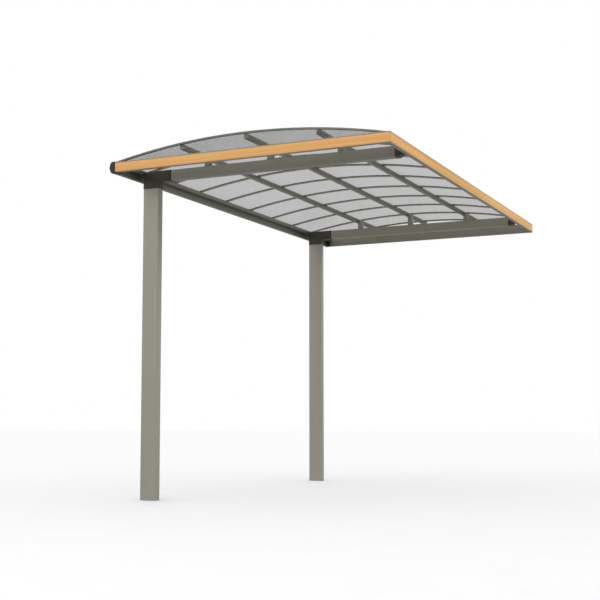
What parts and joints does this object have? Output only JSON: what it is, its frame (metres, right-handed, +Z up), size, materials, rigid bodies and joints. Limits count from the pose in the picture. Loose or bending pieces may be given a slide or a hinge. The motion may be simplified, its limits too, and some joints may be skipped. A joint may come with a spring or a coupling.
{
  "type": "cantilever carport",
  "caption": "Open carport held from one side: box posts, straight cantilever beams, a stepped gutter and a shallow arched roof of smoked translucent sheets with wood-look fascia boards.",
  "frame": {"origin": "middle of the front post's flat foot, on the ground", "axes": "+Z up, +X from the posts to the roof's free edge, +Y from the front post to the rear post along the gutter"},
  "size_m": [2.716, 4.88, 3.207],
  "materials": {
    "post_aluminium": "satin",
    "frame_aluminium": "satin",
    "dark_fittings": "satin",
    "wood_fascia": "satin",
    "smoked_sheet": "gloss"
  },
  "bodies": {
    "root": {"front_post": "post_aluminium", "rear_post": "post_aluminium", "front_post_bracket": "dark_fittings", "rear_post_bracket": "dark_fittings", "front_beam": "frame_aluminium", "rear_beam": "frame_aluminium", "front_beam_shoe": "dark_fittings", "rear_beam_shoe": "dark_fittings", "purlin_inner": "frame_aluminium", "purlin_middle": "frame_aluminium", "purlin_outer": "frame_aluminium", "front_stub_inner": "frame_aluminium", "front_stub_middle": "frame_aluminium", "front_stub_outer": "frame_aluminium", "rear_stub_inner": "frame_aluminium", "rear_stub_middle": "frame_aluminium", "rear_stub_outer": "frame_aluminium", "gutter": "frame_aluminium", "gutter_front_cap": "dark_fittings", "gutter_rear_cap": "dark_fittings", "front_rail": "frame_aluminium", "side_rail": "frame_aluminium", "rear_rail": "frame_aluminium", "front_fascia": "wood_fascia", "side_fascia": "wood_fascia", "rear_fascia": "wood_fascia", "front_end_rib": "frame_aluminium", "rib_1": "frame_aluminium", "rib_2": "frame_aluminium", "rib_3": "frame_aluminium", "rib_4": "frame_aluminium", "rib_5": "frame_aluminium", "rib_6": "frame_aluminium", "rib_7": "frame_aluminium", "rib_8": "frame_aluminium", "rear_end_rib": "frame_aluminium", "roof_sheet_1": "smoked_sheet", "roof_sheet_2": "smoked_sheet", "roof_sheet_3": "smoked_sheet", "roof_sheet_4": "smoked_sheet", "roof_sheet_5": "smoked_sheet", "roof_sheet_6": "smoked_sheet", "roof_sheet_7": "smoked_sheet", "roof_sheet_8": "smoked_sheet", "roof_sheet_9": "smoked_sheet", "front_gable_pane": "smoked_sheet", "rear_gable_pane": "smoked_sheet"}
  },
  "joints": []
}
